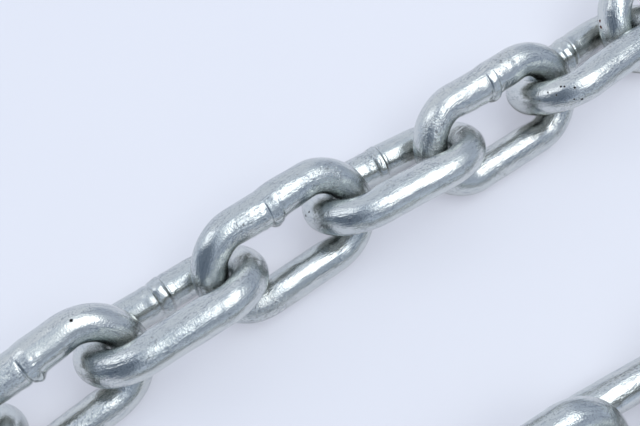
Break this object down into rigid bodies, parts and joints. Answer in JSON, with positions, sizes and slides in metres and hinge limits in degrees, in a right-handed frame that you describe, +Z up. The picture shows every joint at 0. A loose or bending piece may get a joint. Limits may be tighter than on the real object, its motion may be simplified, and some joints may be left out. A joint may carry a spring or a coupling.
{
  "type": "steel link chain",
  "caption": "Length of galvanised welded round-link steel chain, lying folded back on itself, its links hinged in one another.",
  "frame": {"origin": "under the middle of the whole chain, on the surface that it lies on", "axes": "+Z up; +X along the first run of the chain, towards the turn; +Y to the left of it"},
  "size_m": [0.4546, 0.1546, 0.0257],
  "materials": {
    "zinc": "hot-dip galvanised, bright, with drips and pits"
  },
  "bodies": {
    "link_01": {"link_01": "zinc"},
    "link_02": {"link_02": "zinc"},
    "link_03": {"link_03": "zinc"},
    "link_04": {"link_04": "zinc"},
    "link_05": {"link_05": "zinc"},
    "link_06": {"link_06": "zinc"},
    "link_07": {"link_07": "zinc"},
    "link_08": {"link_08": "zinc"},
    "link_09": {"link_09": "zinc"},
    "link_10": {"link_10": "zinc"},
    "link_11": {"link_11": "zinc"},
    "link_12": {"link_12": "zinc"},
    "link_13": {"link_13": "zinc"},
    "link_14": {"link_14": "zinc"},
    "link_15": {"link_15": "zinc"},
    "link_16": {"link_16": "zinc"},
    "link_17": {"link_17": "zinc"},
    "link_18": {"link_18": "zinc"},
    "link_19": {"link_19": "zinc"},
    "link_20": {"link_20": "zinc"},
    "link_21": {"link_21": "zinc"},
    "link_22": {"link_22": "zinc"},
    "link_23": {"link_23": "zinc"},
    "link_24": {"link_24": "zinc"},
    "link_25": {"link_25": "zinc"},
    "link_26": {"link_26": "zinc"},
    "link_27": {"link_27": "zinc"},
    "link_28": {"link_28": "zinc"}
  },
  "joints": [
    {"name": "link_02_swing", "type": "hinge", "parent": "link_01", "child": "link_02", "pos_m": [-0.18306, 0.02836, 0.01142], "axis": [-0.0591, 0.7046, -0.7071], "range_deg": [-40, 40]},
    {"name": "link_03_swing", "type": "hinge", "parent": "link_02", "child": "link_03", "pos_m": [-0.15157, 0.031, 0.01142], "axis": [0.0148, -0.707, -0.7071], "range_deg": [-40, 40]},
    {"name": "link_04_swing", "type": "hinge", "parent": "link_03", "child": "link_04", "pos_m": [-0.1201, 0.03165, 0.01143], "axis": [0.0569, -0.708, 0.7039], "range_deg": [-40, 40]},
    {"name": "link_05_swing", "type": "hinge", "parent": "link_04", "child": "link_05", "pos_m": [-0.0886, 0.03413, 0.01138], "axis": [0.0073, 0.7002, 0.7139], "range_deg": [-40, 40]},
    {"name": "link_06_swing", "type": "hinge", "parent": "link_05", "child": "link_06", "pos_m": [-0.05714, 0.03366, 0.01152], "axis": [-0.0131, 0.7144, -0.6996], "range_deg": [-40, 40]},
    {"name": "link_07_swing", "type": "hinge", "parent": "link_06", "child": "link_07", "pos_m": [-0.02554, 0.03408, 0.01136], "axis": [-0.0565, -0.6969, -0.7149], "range_deg": [-40, 40]},
    {"name": "link_08_swing", "type": "hinge", "parent": "link_07", "child": "link_08", "pos_m": [0.00582, 0.03144, 0.01145], "axis": [-0.0091, -0.6965, 0.7175], "range_deg": [-40, 40]},
    {"name": "link_09_swing", "type": "hinge", "parent": "link_08", "child": "link_09", "pos_m": [0.03739, 0.03125, 0.01166], "axis": [-0.0288, 0.7453, 0.6661], "range_deg": [-40, 40]},
    {"name": "link_10_swing", "type": "hinge", "parent": "link_09", "child": "link_10", "pos_m": [0.06861, 0.03311, 0.01094], "axis": [-0.2143, 0.6121, -0.7612], "range_deg": [-40, 40]},
    {"name": "link_11_swing", "type": "hinge", "parent": "link_10", "child": "link_11", "pos_m": [0.09792, 0.04457, 0.0119], "axis": [0.3169, -0.6274, -0.7113], "range_deg": [-40, 40]},
    {"name": "link_12_swing", "type": "hinge", "parent": "link_11", "child": "link_12", "pos_m": [0.1261, 0.0587, 0.01199], "axis": [0.2191, -0.7795, 0.5868], "range_deg": [-40, 40]},
    {"name": "link_13_swing", "type": "hinge", "parent": "link_12", "child": "link_13", "pos_m": [0.15559, 0.06574, 0.01034], "axis": [0.1561, 0.5836, 0.7969], "range_deg": [-40, 40]},
    {"name": "link_14_swing", "type": "hinge", "parent": "link_13", "child": "link_14", "pos_m": [0.18487, 0.05511, 0.01239], "axis": [0.5161, 0.6244, -0.5863], "range_deg": [-40, 40]},
    {"name": "link_15_swing", "type": "hinge", "parent": "link_14", "child": "link_15", "pos_m": [0.20768, 0.0343, 0.0103], "axis": [-0.5633, -0.2183, -0.7969], "range_deg": [-40, 5]},
    {"name": "link_16_swing", "type": "hinge", "parent": "link_15", "child": "link_16", "pos_m": [0.21624, 0.00437, 0.01244], "axis": [-0.806, 0.0814, 0.5863], "range_deg": [-5, 40]},
    {"name": "link_17_swing", "type": "hinge", "parent": "link_16", "child": "link_17", "pos_m": [0.2117, -0.02601, 0.01041], "axis": [0.5117, -0.3212, 0.7969], "range_deg": [-5, 40]},
    {"name": "link_18_swing", "type": "hinge", "parent": "link_17", "child": "link_18", "pos_m": [0.19275, -0.05076, 0.0126], "axis": [0.3822, -0.7142, -0.5863], "range_deg": [-40, 40]},
    {"name": "link_19_swing", "type": "hinge", "parent": "link_18", "child": "link_19", "pos_m": [0.16506, -0.06392, 0.01058], "axis": [-0.0402, 0.6066, -0.794], "range_deg": [-40, 40]},
    {"name": "link_20_swing", "type": "hinge", "parent": "link_19", "child": "link_20", "pos_m": [0.1337, -0.06379, 0.01227], "axis": [0.1788, 0.6952, 0.6962], "range_deg": [-40, 40]},
    {"name": "link_21_swing", "type": "hinge", "parent": "link_20", "child": "link_21", "pos_m": [0.10368, -0.05572, 0.01191], "axis": [-0.0614, -0.7271, 0.6838], "range_deg": [-40, 40]},
    {"name": "link_22_swing", "type": "hinge", "parent": "link_21", "child": "link_22", "pos_m": [0.07232, -0.05334, 0.01163], "axis": [-0.0835, -0.7022, -0.7071], "range_deg": [-40, 40]},
    {"name": "link_23_swing", "type": "hinge", "parent": "link_22", "child": "link_23", "pos_m": [0.04111, -0.0497, 0.0117], "axis": [0.0395, 0.706, -0.7071], "range_deg": [-40, 40]},
    {"name": "link_24_swing", "type": "hinge", "parent": "link_23", "child": "link_24", "pos_m": [0.00957, -0.04793, 0.0117], "axis": [0.0835, 0.7022, 0.7071], "range_deg": [-40, 40]},
    {"name": "link_25_swing", "type": "hinge", "parent": "link_24", "child": "link_25", "pos_m": [-0.02169, -0.04421, 0.0117], "axis": [-0.0395, -0.706, 0.7071], "range_deg": [-40, 40]},
    {"name": "link_26_swing", "type": "hinge", "parent": "link_25", "child": "link_26", "pos_m": [-0.05324, -0.04245, 0.0117], "axis": [-0.0835, -0.7022, -0.7071], "range_deg": [-40, 40]},
    {"name": "link_27_swing", "type": "hinge", "parent": "link_26", "child": "link_27", "pos_m": [-0.0845, -0.03872, 0.0117], "axis": [0.0395, 0.706, -0.7071], "range_deg": [-40, 40]},
    {"name": "link_28_swing", "type": "hinge", "parent": "link_27", "child": "link_28", "pos_m": [-0.11604, -0.03696, 0.0117], "axis": [0.0835, 0.7022, 0.7071], "range_deg": [-40, 40]}
  ]
}
